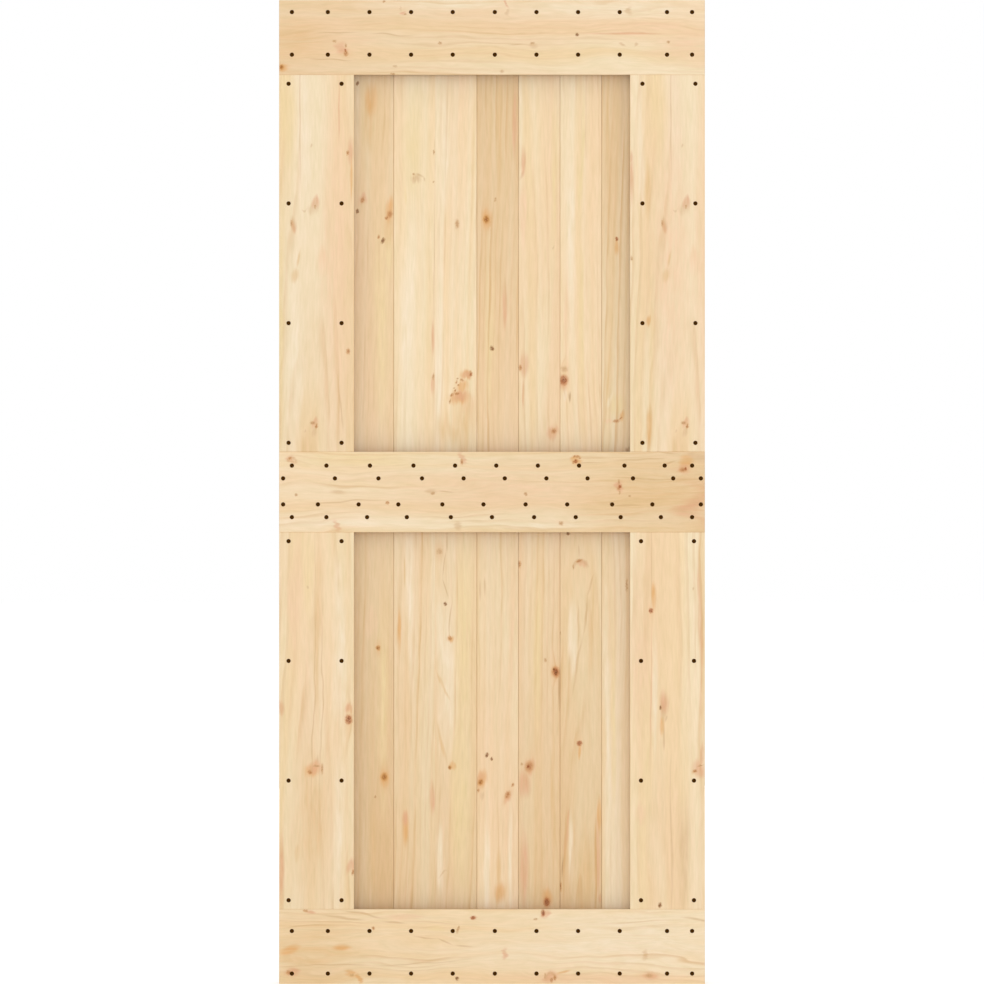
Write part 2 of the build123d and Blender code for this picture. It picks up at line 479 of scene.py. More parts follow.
UPPER_BOARDS = {
    "upper_board_01": dict(heart=(-0.40, 0.06, 0.0, 0.02), ring=0.0082, seed=1.0),
    "upper_board_02": dict(heart=(-0.30, 0.09, 0.02, 0.0), ring=0.0105, seed=2.0, tan=(0.2, 0.1)),
    "upper_board_03": dict(
        heart=(-0.15, 0.05, 0.01, 0.02), ring=0.0105, seed=3.0, tan=(0.40, 0.26), peach=0.6, figure=0.26,
        marks=[
            (-285, -175, 3.4, 5.3, "dark", 20), (-274, -422, 4.7, 7.6, "rust", 15),
            (-285, -446, 3.6, 5.3, "dark", 10), (-216, -452, 6.8, 8.9, "rust", 12),
            (-223, -460, 4.2, 4.7, "rust"), (-240, -500, 2.7, 4.7, "rust"),
            (-231, -508, 4, 7.2, "dark", 20), (-256, -207, 14, 38, "orange"), (-260, -254, 11, 72, "honey"),
            (-217, -440, 9.5, 27, "orange", 8), (-219, -486, 11, 47, "honey"),
            (-219, -528, 11, 63, "straw"), (-233, -676, 19, 233, "straw"), (-274, -421, 11, 15, "rose", 15),
        ],
    ),
    "upper_board_04": dict(
        heart=(-0.25, 0.06, 0.02, 0.0), ring=0.0120, seed=4.0, peach=0.4, figure=0.24, glue=GLUE_LINE,
        marks=[
            (-166, -367, 3.6, 2.7, "faint", 15), (-161, -376, 12, 11, "tan"),
            (-154, -370, 11, 2.5, "line", 26), (-144, -378, 2.3, 5.5, "line", -20),
            (-169, -374, 2.1, 6.3, "line"), (-74, -473, 5.1, 11, "faint"),
            (-124, -796, 2.7, 8.5, "faint", 6), (-45, -788, 3.8, 5.9, "rust", -15),
            (-45, -792, 3.6, 3.2, "red"), (-64, -803, 4.9, 2.7, "rust", 25), (-73, -800, 2.7, 2.5, "faint"),
            (-75, -807, 2.3, 4.7, "rust", 15), (-71, -814, 3, 2.3, "rust"),
            (-80, -820, 3.2, 2.1, "faint", -20), (-78, -826, 2.3, 4.9, "rust", 25),
            (-74, -832, 5.3, 3.4, "rust", -12), (-85, -835, 5.1, 2.5, "rust", -45),
            (-89, -848, 1.9, 5.9, "faint", 6), (-165, -296, 23, 169, "straw"),
            (-178, -698, 17, 190, "cream"), (-97, -317, 13, 148, "cream"), (-110, -782, 11, 169, "cream"),
            (-55, -791, 16, 11, "orange", -25), (-54, -791, 13, 8.5, "rose", -25),
            (-70, -840, 25, 18, "orange", -12), (-67, -838, 19, 13, "rose", -12),
            (-63, -817, 13, 19, "orange", 20), (-59, -875, 30, 89, "honey"), (-51, -854, 17, 30, "peach"),
            (-78, -917, 47, 42, "honey"), (-123, -338, 2.5, 51, "line"), (-123, -321, 1.9, 6.3, "faint"),
            (-124, -383, 2.1, 2.5, "faint"), (-123, -528, 2.5, 127, "tan"), (-125, -714, 3.4, 42, "rose"),
            (-125, -814, 4.7, 25, "rose"), (-183, -408, 3.4, 27, "straw"),
        ],
    ),
    "upper_board_05": dict(
        heart=(0.10, 0.04, 0.02, 0.0), ring=0.0105, seed=5.0, tan=(0.76, 0.18), peach=0.5, figure=0.45,
        marks=[
            (-12, -463, 7.6, 9.7, "amber"), (7, -421, 2.5, 4.7, "faint", 15), (0, -736, 4.7, 5.5, "dark"),
            (-11, -464, 12, 21, "orange"), (48, -264, 6.3, 76, "rose"), (27, -647, 5.1, 51, "rose"),
            (-6, -698, 13, 169, "straw"), (16, -275, 7.4, 127, "honey"),
        ],
    ),
    "upper_board_06": dict(
        heart=(0.0, 0.07, -0.01, 0.02), ring=0.0105, seed=6.0, tan=(0.06, 0.14), peach=0.7, figure=0.24,
        marks=[
            (60, -777, 4, 7.2, "rust"), (129, -522, 2.5, 4.2, "tan"), (131, -911, 5.9, 6.8, "rust", 20),
            (66, -340, 6.3, 34, "rose"), (63, -368, 3.8, 11, "tan", 15), (68, -769, 11, 30, "rose"),
            (66, -829, 3, 34, "rose"), (128, -913, 14, 15, "rose"), (131, -380, 9.5, 169, "straw"),
            (66, -454, 8.5, 85, "peach"),
        ],
    ),
    "upper_board_07": dict(
        heart=(0.29, 0.05, 0.0, -0.02), ring=0.0105, seed=7.0, tan=(0.0, 0.06), peach=0.4, figure=0.24,
        marks=[
            (152, -803, 9.5, 12, "red"), (153, -780, 8, 7.2, "pale"), (154, -788, 5.5, 3.4, "straw"),
            (151, -810, 10, 15, "rose"), (164, -836, 2.7, 13, "brown"), (155, -831, 5.5, 15, "cream"),
            (190, -317, 6.8, 169, "straw"), (188, -676, 8.5, 190, "straw"), (167, -486, 11, 254, "cream"),
            (160, -676, 6.3, 127, "peach"),
        ],
    ),
    "upper_board_08": dict(
        heart=(0.33, 0.04, 0.02, 0.01), ring=0.0105, seed=8.0, tan=(0.68, 0.2), peach=0.3, figure=0.4,
        marks=[
            (264, -504, 3.8, 4.7, "red"), (263, -890, 8, 3.8, "rust", -8),
            (272, -884, 5.5, 2.3, "rust", -40), (275, -880, 5.1, 13, "orange", 12),
            (249, -846, 4.7, 19, "cream", 25), (264, -856, 17, 27, "straw"), (247, -889, 11, 6.3, "peach"),
            (265, -917, 1.9, 30, "tan"), (264, -522, 5.5, 19, "orange"), (287, -949, 5.1, 6.3, "brown"),
            (276, -275, 5.1, 127, "tan"), (245, -275, 6.3, 190, "honey"), (243, -803, 4.2, 127, "honey", 4),
        ],
    ),
    "upper_board_09": dict(heart=(0.40, 0.06, 0.0, 0.02), ring=0.0082, seed=9.0),
    "upper_board_10": dict(heart=(0.45, 0.08, 0.01, 0.0), ring=0.0080, seed=10.0),
}
UPPER_FIELD = opening("upper", "front_mid_rail", "front_top_rail")
for board, wood in UPPER_BOARDS.items():
    dress(board, grain="Z", field=UPPER_FIELD, **wood)


# The lower field: boards of the same widths, from other planks, butted against the upper ones behind the
# mid rail and clamped in the same way.

LOWER_BOARDS = {
    "lower_board_01": dict(heart=(-0.40, 0.06, 0.0, 0.02), ring=0.0082, seed=11.0),
    "lower_board_02": dict(heart=(-0.30, 0.09, 0.02, 0.0), ring=0.0105, seed=12.0, tan=(0.1, 0.3)),
    "lower_board_03": dict(
        heart=(-0.15, 0.06, 0.01, 0.02), ring=0.0105, seed=13.0, tan=(0.42, 0.8), peach=0.5, figure=0.5,
        marks=[
            (-241, -1370, 5.1, 6.1, "amber"), (-228, -1643, 7.6, 9.7, "amber"),
            (-247, -1685, 2.1, 3.4, "faint"), (-228, -1645, 11, 21, "orange"),
            (-256, -1315, 15, 34, "peach"), (-230, -1480, 13, 254, "straw"),
            (-254, -1797, 6.3, 127, "honey"),
        ],
    ),
    "lower_board_04": dict(
        heart=(-0.27, 0.07, 0.03, 0.0), ring=0.0120, seed=14.0, tan=(0.15, 0.52), peach=0.4, figure=0.6,
        glue=GLUE_LINE,
        marks=[
            (-111, -1166, 7.2, 7.2, "pale"), (-99, -1277, 3.8, 4, "dark"), (-89, -1350, 4.7, 5.1, "rust"),
            (-89, -1623, 4.2, 5.1, "amber"), (-185, -1207, 3, 40, "honey"),
            (-196, -1332, 5.5, 51, "orange"), (-171, -1268, 13, 190, "cream"),
            (-110, -1353, 9.5, 127, "cream"), (-61, -1353, 19, 275, "straw"),
            (-68, -1691, 25, 233, "straw"), (-95, -1437, 25, 190, "cream"),
            (-88, -1350, 8.9, 9.7, "orange"), (-83, -1620, 8.5, 11, "orange"),
            (-105, -1446, 3.2, 42, "honey", -24), (-106, -1573, 3.8, 51, "honey", -14),
            (-126, -1689, 7, 36, "rose"), (-183, -1754, 7.2, 42, "orange"), (-184, -1729, 6.8, 19, "rose"),
            (-104, -1847, 1.9, 15, "tan", 40), (-110, -1818, 8.5, 85, "cream"),
            (-95, -1144, 1.9, 25, "tan"), (-102, -1194, 1.9, 30, "line", 10),
            (-101, -1243, 2.1, 23, "line", -17), (-92, -1315, 1.9, 47, "line", 6),
        ],
    ),
    "lower_board_05": dict(
        heart=(0.12, 0.06, 0.0, 0.02), ring=0.0105, seed=15.0, tan=(0.3, 0.0), peach=0.7, figure=0.3,
        marks=[
            (-11, -1597, 3.6, 5.9, "dark", 12), (-1, -1605, 2.7, 4.4, "dark"),
            (-24, -1654, 5.7, 7.6, "amber", 15), (-29, -1672, 2.7, 4.7, "rust"),
            (44, -1660, 3.2, 4.9, "rust", 20), (33, -1681, 6.1, 9.9, "rust", 25),
            (34, -1685, 8.5, 15, "rose", 30), (-25, -1247, 3, 27, "tan"), (-16, -1243, 2.7, 19, "tan"),
            (-21, -1649, 12, 23, "orange", 12), (-23, -1649, 9.3, 17, "rose", 12),
            (-21, -1685, 6.3, 11, "tan"), (17, -1888, 14, 25, "orange"), (15, -1839, 6.3, 47, "honey"),
            (40, -1818, 7.2, 106, "cream"), (-11, -1839, 7.2, 85, "cream"), (42, -1353, 8.5, 148, "peach"),
        ],
    ),
    "lower_board_06": dict(
        heart=(-0.01, 0.08, 0.01, 0.0), ring=0.0105, seed=16.0, tan=(0.18, 0.66), peach=0.6, figure=0.45,
        marks=[
            (58, -1193, 4.2, 8, "rust"), (113, -1396, 3.4, 5.1, "faint"), (135, -1421, 8, 12, "red", -8),
            (136, -1423, 2.3, 4.7, "dark", 10), (131, -1415, 1.9, 3.2, "dark"),
            (79, -1621, 9.7, 13, "rust", 12), (76, -1621, 3.2, 3.6, "red"), (63, -1616, 3.4, 3.4, "faint"),
            (116, -1908, 7.6, 11, "red"), (135, -1420, 11, 17, "orange"), (79, -1622, 14, 17, "rose", 12),
            (68, -1659, 15, 34, "rose"), (68, -1839, 11, 85, "rose"), (142, -1459, 2.5, 42, "brown"),
            (118, -1900, 13, 19, "orange"), (129, -1691, 4.2, 190, "honey"), (97, -1353, 11, 169, "straw"),
        ],
    ),
    "lower_board_07": dict(
        heart=(0.19, 0.05, 0.0, 0.06), ring=0.0115, seed=17.0, tan=(0.22, 0.74), peach=0.4, figure=1.0,
        marks=[
            (161, -1127, 4.4, 5.1, "dark"), (187, -1199, 15, 16, "arc"),
            (184, -1186, 7.2, 3.4, "rust", -20), (191, -1191, 12, 8.9, "rose"),
            (172, -1199, 2.1, 5.9, "faint"), (184, -1165, 2.5, 15, "tan"), (144, -1339, 2.5, 4, "faint"),
            (185, -1572, 6.1, 6.3, "red"), (145, -1875, 3.2, 11, "rust"), (144, -1896, 1.9, 19, "tan"),
            (160, -1738, 3, 25, "rose", 4), (157, -1771, 3.4, 42, "rose", 6),
            (227, -1724, 5.5, 42, "orange"), (149, -1835, 2.3, 25, "brown", 5),
            (185, -1590, 3.8, 19, "orange"), (212, -1321, 8.5, 127, "honey"),
            (211, -1238, 3.2, 27, "line", 21), (198, -1300, 3, 47, "line", 7),
            (179, -1408, 3, 70, "line", 12), (182, -1321, 2.5, 51, "line", -2),
            (171, -1353, 11, 85, "cream"), (224, -1818, 6.3, 85, "rose"), (197, -1843, 25, 106, "honey"),
            (167, -1797, 6.3, 85, "cream"), (228, -1902, 5.5, 15, "rose"),
        ],
    ),
    "lower_board_08": dict(
        heart=(0.38, 0.09, 0.0, 0.0), ring=0.0105, seed=18.0, tan=(0.32, 0.0), peach=0.3, figure=0.3,
        marks=[
            (285, -1237, 2.7, 15, "faint"), (243, -1522, 8.5, 359, "cream"),
            (258, -1522, 6.3, 211, "straw"),
        ],
    ),
    "lower_board_09": dict(heart=(0.40, 0.06, 0.0, 0.02), ring=0.0082, seed=19.0),
    "lower_board_10": dict(heart=(0.45, 0.08, 0.01, 0.0), ring=0.0080, seed=20.0),
}
LOWER_FIELD = opening("lower", "front_bottom_rail", "front_mid_rail")
for board, wood in LOWER_BOARDS.items():
    dress(board, grain="Z", field=LOWER_FIELD, **wood)


# The front rails: three wide planed boards with level grain, across the whole leaf, screwed on over the
# ends of the field boards. A little painted shade darkens them at the levels where the stiles meet them.

FRAME_SEAMS = [
    float(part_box("front_top_rail")[0][2]),
    float(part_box("front_mid_rail")[1][2]),
    float(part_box("front_bottom_rail")[1][2]),
]
FRONT_RAILS = {
    "front_top_rail": dict(
        heart=(0.06, 0.05, 0.0, 0.0), ring=0.0120, seed=21.0, peach=0.55, tan=(0.40, 0.03),
        figure=0.33, wave=0.045,
        marks=[
            (-228, -3, 3.8, 3, "faint"), (-110, -91, 4.2, 3.6, "faint"), (180, -73, 4, 3.8, "dark"),
            (373, -89, 4, 3.2, "faint"), (-210, -156, 5.5, 2.7, "faint"), (-445, -142, 5.7, 6.3, "amber"),
            (-310, -107, 2.5, 3.8, "red"), (-309, -113, 5.5, 6.8, "rust"), (-309, -96, 2.5, 4.7, "faint"),
            (-333, -87, 5.1, 3.2, "faint"), (85, -91, 5.1, 3, "faint"), (87, -97, 9.7, 7.2, "tan"),
            (51, -97, 17, 1.9, "line"), (277, -94, 9.3, 3.4, "tan", 25), (304, -94, 3.6, 5.5, "tan", 20),
            (-205, -140, 5.5, 3, "pale"), (21, -151, 5.1, 4.2, "pale"), (-184, -28, 6.8, 4.7, "rose"),
            (-183, -30, 3.2, 1.9, "faint"), (-192, -19, 3.2, 6.3, "tan"), (-319, -101, 15, 14, "rose"),
            (34, -25, 5.7, 9.7, "tan"), (31, -6, 2.3, 11, "rose"), (291, -23, 7.2, 12, "tan", -30),
            (-444, -144, 9.3, 9.7, "orange"), (281, -71, 89, 2.7, "rose"), (-374, -76, 127, 55, "peach"),
            (-406, -85, 76, 51, "honey"), (228, -17, 275, 23, "cream"), (-89, -11, 169, 15, "cream"),
            (313, -55, 148, 17, "peach"), (419, -95, 85, 63, "peach"), (-326, -66, 51, 2.1, "line", -2),
            (-211, -72, 51, 2.1, "line", 3), (-342, -123, 51, 1.9, "line", 3),
        ],
    ),
    "front_mid_rail": dict(
        heart=(-1.20, 0.06, 0.01, 0.0), ring=0.0125, seed=22.0, peach=0.7, tan=(0.0, 0.46),
        figure=0.40, wave=0.045,
        marks=[
            (-423, -976, 9.3, 10, "arc"), (-427, -969, 3.4, 3.4, "rust"),
            (-64, -976, 3.8, 7.2, "rust", -10), (-414, -1046, 4.2, 3, "faint"),
            (-221, -1063, 4.2, 4.2, "rust"), (-125, -1043, 4.2, 3.6, "faint"), (71, -1044, 4, 4.4, "faint"),
            (174, -965, 3.8, 3.2, "rust"), (181, -965, 4.2, 3, "rust"), (185, -968, 3.4, 2.3, "rust"),
            (177, -975, 4.2, 4.7, "red"), (172, -977, 3.2, 4.2, "rust"), (268, -1019, 2.5, 6.3, "faint"),
            (271, -1028, 3.6, 3.8, "red"), (268, -1032, 4.9, 5.1, "rust"), (270, -1041, 2.5, 4.2, "faint"),
            (404, -993, 9.3, 5.5, "rust"), (409, -991, 3.2, 3.6, "red"), (-328, -1040, 17, 5.5, "tan"),
            (291, -1049, 3.6, 2.5, "faint"), (146, -1106, 5.5, 5.1, "faint"), (-423, -972, 9.5, 11, "rose"),
            (-64, -968, 7.2, 15, "rose", -18), (-328, -1112, 7.6, 14, "rose", -20),
            (-71, -1112, 8.9, 11, "tan"), (-129, -1039, 13, 7.2, "tan"), (-97, -1039, 19, 2.1, "line"),
            (178, -972, 11, 13, "orange", -30), (211, -968, 32, 2.1, "line"),
            (313, -970, 63, 2.1, "line", -2), (207, -980, 25, 1.9, "line"), (372, -958, 21, 2.1, "line", 6),
            (374, -978, 19, 2.1, "line", -14), (334, -1010, 85, 2.1, "line"), (269, -1029, 9.5, 15, "rose"),
            (407, -991, 15, 12, "rose"), (410, -977, 15, 17, "orange"), (326, -1036, 148, 72, "honey"),
            (431, -1048, 51, 85, "honey"), (435, -1065, 34, 51, "rose"), (423, -962, 13, 8.5, "tan"),
            (17, -1036, 254, 55, "peach"), (-258, -1108, 233, 13, "cream"), (59, -1112, 148, 8.5, "cream"),
            (-300, -972, 148, 17, "straw"), (440, -968, 34, 11, "tan", 8),
            (-300, -1061, 85, 1.9, "line", -1), (283, -1070, 34, 2.3, "line", -3),
        ],
    ),
    "front_bottom_rail": dict(
        heart=(-2.17, 0.05, 0.0, 0.0), ring=0.0120, seed=23.0, peach=0.2, tan=(0.12, 0.0),
        figure=0.36, wave=0.06,
        marks=[
            (-394, -1925, 5.7, 3, "rust"), (-40, -1940, 5.9, 4.2, "red"), (-251, -1962, 3.6, 4.2, "rust"),
            (-430, -2056, 6.3, 5.1, "rust"), (-296, -2061, 4.7, 3, "pale"), (-74, -2068, 4.2, 4.7, "dark"),
            (108, -1930, 4.9, 7.8, "red"), (117, -1933, 8.9, 7.6, "rose"), (133, -2067, 3.6, 6.3, "rust"),
            (126, -2072, 3.6, 4.7, "rust"), (124, -2068, 10, 13, "arc"), (112, -2063, 2.1, 7.2, "faint"),
            (92, -1943, 4.7, 2.7, "faint"), (332, -2062, 8.5, 5.1, "pale"),
            (-72, -1965, 3, 8.9, "faint", 15), (-320, -2003, 23, 8, "orange"),
            (-425, -2007, 25, 9.5, "orange", -25), (-423, -2055, 17, 11, "rose"),
            (-298, -2057, 13, 8.5, "orange", 25), (-283, -2069, 6.3, 13, "orange", -15),
            (29, -2016, 6.8, 14, "rose"), (326, -2019, 6.8, 13, "tan", 15), (113, -1931, 11, 11, "rose"),
            (123, -2065, 15, 15, "rose"), (150, -2055, 21, 3.6, "orange", -14),
            (334, -2063, 19, 9.5, "rose"), (-380, -1928, 13, 3.4, "rose", 10),
            (-36, -1940, 9.5, 5.5, "rose"), (-385, -2019, 127, 93, "honey"), (207, -2008, 317, 34, "cream"),
            (292, -1987, 233, 85, "cream"), (292, -1955, 190, 25, "cream"), (228, -2067, 275, 13, "peach"),
            (440, -1945, 42, 3, "line", 6), (-317, -1939, 51, 3, "line", 6),
            (-184, -1938, 42, 8.5, "peach"), (-120, -1962, 21, 6.3, "straw"),
            (-142, -1980, 27, 2.3, "line", 8), (-99, -1991, 20, 2.3, "line", 28),
            (-59, -2001, 21, 2.1, "line", 5), (-342, -2040, 106, 1.9, "line"),
            (-152, -2036, 106, 1.9, "line", -3), (-275, -1931, 53, 2.1, "line", 10),
            (-207, -1946, 27, 2.1, "line", 4), (-385, -1957, 55, 1.9, "line", -4),
        ],
    ),
}
for rail, wood in FRONT_RAILS.items():
    dress(rail, grain="X", seams=FRAME_SEAMS, **wood)


# The front stiles: four upright boards, cut to fit between the rails and screwed on over the sides of the
# fields. The two upper ones were sawn side by side from one plank, so they share its figure.

UPPER_PLANK = [
    (-382, -311, 2.5, 4.2, "tan"), (-374, -437, 2.7, 4.7, "faint"), (-424, -472, 2.5, 6.8, "faint"),
    (-371, -900, 3, 6.8, "rust", 8), (-379, -894, 5.9, 4.2, "faint"), (-394, -911, 2.5, 5.1, "tan", 10),
    (-378, -440, 12, 16, "tan", 20), (-373, -429, 8.9, 14, "rose", 15), (-396, -442, 6.3, 3, "tan", -14),
    (-420, -471, 6.3, 18, "tan", -8), (-421, -476, 5.1, 15, "rose", -10), (-409, -543, 3, 21, "honey", 12),
    (-417, -583, 8.5, 19, "honey", 10), (-353, -554, 19, 51, "peach"), (-376, -913, 6.8, 13, "tan"),
    (-375, -894, 8.5, 11, "rose"), (-400, -275, 23, 254, "cream"), (-419, -740, 21, 233, "cream"),
    (-433, -233, 19, 127, "straw"), (-326, -550, 38, 486, "peach"), (-405, -254, 2.1, 127, "tan", 1),
    (-446, -698, 8.5, 296, "straw"),
]
PLANK_STEP = 784.0
FRONT_STILES = {
    "front_upper_left_stile": dict(
        heart=(-0.38, 0.06, 0.0, 0.03), ring=0.0115, seed=24.0, peach=0.2, tan=(0.04, 0.28), figure=0.45,
        marks=[
            *UPPER_PLANK,
            (-304, -743, 4.7, 7.2, "rust"), (-305, -323, 3.2, 5.9, "rust"), (-299, -321, 7.2, 30, "rose"),
            (-297, -376, 3.2, 51, "orange"), (-321, -846, 2.5, 63, "tan", -6),
            (-323, -233, 1.9, 72, "rose"),
        ],
    ),
    "front_upper_right_stile": dict(
        heart=(-0.38, 0.06, 0.0, 0.03), ring=0.0115, seed=24.0, peach=0.2, tan=(0.02, 0.16), figure=0.45,
        plank=PLANK_STEP * MILLIMETRE,
        marks=[
            *((x + PLANK_STEP, *rest) for x, *rest in UPPER_PLANK),
            (295, -334, 3.8, 17, "rose"), (296, -380, 5.1, 51, "rose"), (295, -546, 2.7, 5.9, "faint"),
            (331, -681, 5.5, 15, "orange", 10), (332, -905, 8, 47, "orange"), (330, -402, 8.5, 63, "honey"),
            (313, -338, 8.5, 127, "cream"), (372, -550, 63, 402, "peach"),
        ],
    ),
    "front_lower_left_stile": dict(
        heart=(-0.36, 0.07, 0.01, 0.03), ring=0.0115, seed=26.0, peach=0.5, tan=(0.04, 0.18), figure=0.5,
        marks=[
            (-389, -1242, 2.7, 3.8, "tan"), (-303, -1521, 8.2, 11, "red"), (-385, -1632, 4.9, 4.9, "rust"),
            (-371, -1619, 7.2, 2.7, "faint"), (-359, -1626, 2.3, 13, "faint"),
            (-294, -1844, 3.4, 6.8, "rust", 10), (-303, -1497, 8.9, 12, "rose", 20),
            (-446, -1494, 7.2, 19, "rose"), (-380, -1627, 19, 17, "orange", -25),
            (-374, -1623, 17, 17, "rose"), (-368, -1609, 3, 11, "tan"), (-299, -1831, 9.3, 19, "rose", 15),
            (-369, -1353, 11, 275, "honey"), (-366, -1754, 13, 169, "honey"),
            (-378, -1459, 1.7, 317, "line"), (-361, -1480, 1.9, 254, "line"),
            (-319, -1353, 19, 275, "cream"), (-323, -1754, 19, 190, "cream"),
            (-445, -1839, 6.8, 85, "rose"), (-419, -1268, 17, 127, "peach"),
            (-391, -1205, 13, 106, "straw"), (-411, -1803, 8.5, 30, "honey"),
            (-380, -1744, 47, 211, "honey"),
        ],
    ),
    "front_lower_right_stile": dict(
        heart=(0.36, 0.07, 0.0, 0.02), ring=0.0115, seed=27.0, peach=0.6, tan=(0.0, 0.04), figure=0.38,
        marks=[
            (336, -1291, 5.1, 6.1, "red"), (426, -1242, 2.5, 4.7, "tan"), (356, -1496, 2.3, 5.5, "dark"),
            (429, -1630, 4.7, 3.6, "rust"), (427, -1637, 5.9, 6.8, "honey"),
            (441, -1618, 7.6, 1.9, "faint", -18), (355, -1913, 4, 6.1, "dark"),
            (364, -1486, 11, 27, "rose"), (361, -1507, 7.6, 25, "tan"), (367, -1520, 3.2, 9.3, "tan", 20),
            (359, -1537, 5.5, 23, "orange"), (363, -1564, 2.5, 30, "tan"), (438, -1626, 17, 20, "rose"),
            (444, -1480, 8.5, 486, "honey"), (444, -1596, 5.5, 25, "rose"), (337, -1194, 2.1, 85, "tan"),
            (336, -1459, 1.7, 148, "rose"), (342, -1260, 6.3, 30, "orange"), (441, -1353, 3.4, 190, "rose"),
            (313, -1395, 19, 275, "peach"), (345, -1459, 8.5, 127, "cream"), (315, -1719, 13, 25, "peach"),
            (404, -1797, 17, 127, "tan"), (380, -1754, 3, 169, "tan"),
        ],
    ),
}
for stile, wood in FRONT_STILES.items():
    dress(stile, grain="Z", seams=FRAME_SEAMS, **wood)


# The back frame: the same seven boards on the other face, with the same knots the other way round. The
# screws come from the front and end inside these boards, so their faces have no heads.


def mirrored(board):
    """The marks of a front board, turned over from left to right."""
    turned = []
    for x, z, half_width, half_height, kind, *turn in {**FRONT_RAILS, **FRONT_STILES}[board]["marks"]:
        turned.append((-x, z, half_width, half_height, kind, -turn[0] if turn else 0))
    return turned


BACK_RAILS = {
    "back_top_rail": dict(
        heart=(0.06, -0.05, 0.0, 0.0), ring=0.0120, seed=31.0, peach=0.5, tan=(0.05, 0.4),
        figure=0.35, wave=0.045,
        marks=mirrored("front_top_rail"),
    ),
    "back_mid_rail": dict(
        heart=(-1.20, -0.06, -0.01, 0.0), ring=0.0125, seed=32.0, peach=0.5, tan=(0.4, 0.0),
        figure=0.40, wave=0.045,
        marks=mirrored("front_mid_rail"),
    ),
    "back_bottom_rail": dict(
        heart=(-2.17, -0.05, 0.0, 0.0), ring=0.0120, seed=33.0, peach=0.4, tan=(0.0, 0.2),
        figure=0.5, wave=0.06,
        marks=mirrored("front_bottom_rail"),
    ),
}
BACK_STILES = {
    "back_upper_left_stile": dict(
        heart=(-0.46, -0.06, 0.0, 0.02), ring=0.0115, seed=34.0, tan=(0.05, 0.2), figure=0.45,
        marks=mirrored("front_upper_right_stile"),
    ),
    "back_upper_right_stile": dict(
        heart=(0.46, -0.06, 0.01, 0.02), ring=0.0115, seed=35.0, tan=(0.1, 0.25), figure=0.45,
        marks=mirrored("front_upper_left_stile"),
    ),
    "back_lower_left_stile": dict(
        heart=(-0.28, -0.05, 0.0, -0.02), ring=0.0115, seed=36.0, peach=0.5, tan=(0.0, 0.15), figure=0.45,
        marks=mirrored("front_lower_right_stile"),
    ),
    "back_lower_right_stile": dict(
        heart=(0.28, -0.07, 0.01, 0.0), ring=0.0115, seed=37.0, peach=0.5, tan=(0.05, 0.2), figure=0.45,
        marks=mirrored("front_lower_left_stile"),
    ),
}
for rail, wood in BACK_RAILS.items():
    dress(rail, grain="X", seams=FRAME_SEAMS, **wood)
for stile, wood in BACK_STILES.items():
    dress(stile, grain="Z", seams=FRAME_SEAMS, **wood)


# The screws: dark bronzed steel with a flat head and a cross recess, driven from the front until the head
# is just below the face. Each board's screws are one joined mesh, one in every seat of the board.

HEAD_RADIUS = 0.0044
HEAD_SINK = 0.0008
HEAD_HEIGHT = 0.0024
RECESS_DEPTH = 0.0016
RECESS_MIDDLE = 0.30
HEAD_TURNS = 16
TURN_SEED = 5
# The floors of the seats lie between these depths below the face, and each is less than this wide.
SEAT_DEPTHS = (0.002, 0.008)
SEAT_SPREAD = 0.0105


def seats(board):
    """The middles of a board's screw seats, and the level of its face. The points at the depth of the seats'
    floors are gathered by nearness."""
    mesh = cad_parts[board].data
    points = np.empty(len(mesh.vertices) * 3)
    mesh.vertices.foreach_get("co", points)
    points = points.reshape(-1, 3)
    face = points[:, 1].min()
    depths = points[:, 1] - face
    floor = points[(depths > SEAT_DEPTHS[0]) & (depths < SEAT_DEPTHS[1])]
    gaps = np.linalg.norm(floor[:, None] - floor[None], axis=2)
    groups = np.argmax(gaps < SEAT_SPREAD, axis=1)
    return np.array([floor[groups == group].mean(0) for group in np.unique(groups)]), face


def screw_heads(centres, face, turns):
    """Flat heads on a polar grid: rings run from the middle to the rim and down the side, and the inner rings
    drop into a cross wherever the angle is near a quarter turn."""
    rings = np.array([0.0, RECESS_MIDDLE, 0.62, 0.70, 0.93, 1.0, 1.0])
    drops = np.array([1.0, 1.0, 0.75, 0.0, 0.0, 0.0, 0.0])
    sides = np.array([0.0, 0.0, 0.0, 0.0, 0.0, 0.12, 1.0])
    angle = np.arange(HEAD_TURNS) * 2 * np.pi / HEAD_TURNS
    arm = np.maximum(np.cos(2 * angle) ** 2 * 2 - 1, 0)[None, :]
    inner = (rings <= RECESS_MIDDLE)[:, None]
    depth = drops[:, None] * RECESS_DEPTH * np.where(inner, 1.0, arm) + sides[:, None] * HEAD_HEIGHT
    bearing = turns[:, None, None] + angle[None, None, :]
    radius = HEAD_RADIUS * rings[None, :, None]
    return np.stack([
        centres[:, 0, None, None] + radius * np.cos(bearing),
        np.broadcast_to(face + HEAD_SINK + depth, bearing.shape[:1] + depth.shape),
        centres[:, 2, None, None] + radius * np.sin(bearing),
    ], axis=-1)


def grid_mesh(name, points):
    """One mesh from polar grids: each quad joins two rings and two bearings, going once round."""
    count, rings, turns = points.shape[:3]
    index = np.arange(count * rings * turns).reshape(count, rings, turns)
    beside = np.roll(index, -1, axis=2)
    quads = np.stack([index[:, :-1], beside[:, :-1], beside[:, 1:], index[:, 1:]], axis=-1).reshape(-1, 4)
    mesh = bpy.data.meshes.new(name)
    mesh.from_pydata(points.reshape(-1, 3), [], quads)
    piece = bpy.data.objects.new(name, mesh)
    bpy.context.scene.collection.objects.link(piece)
    return piece


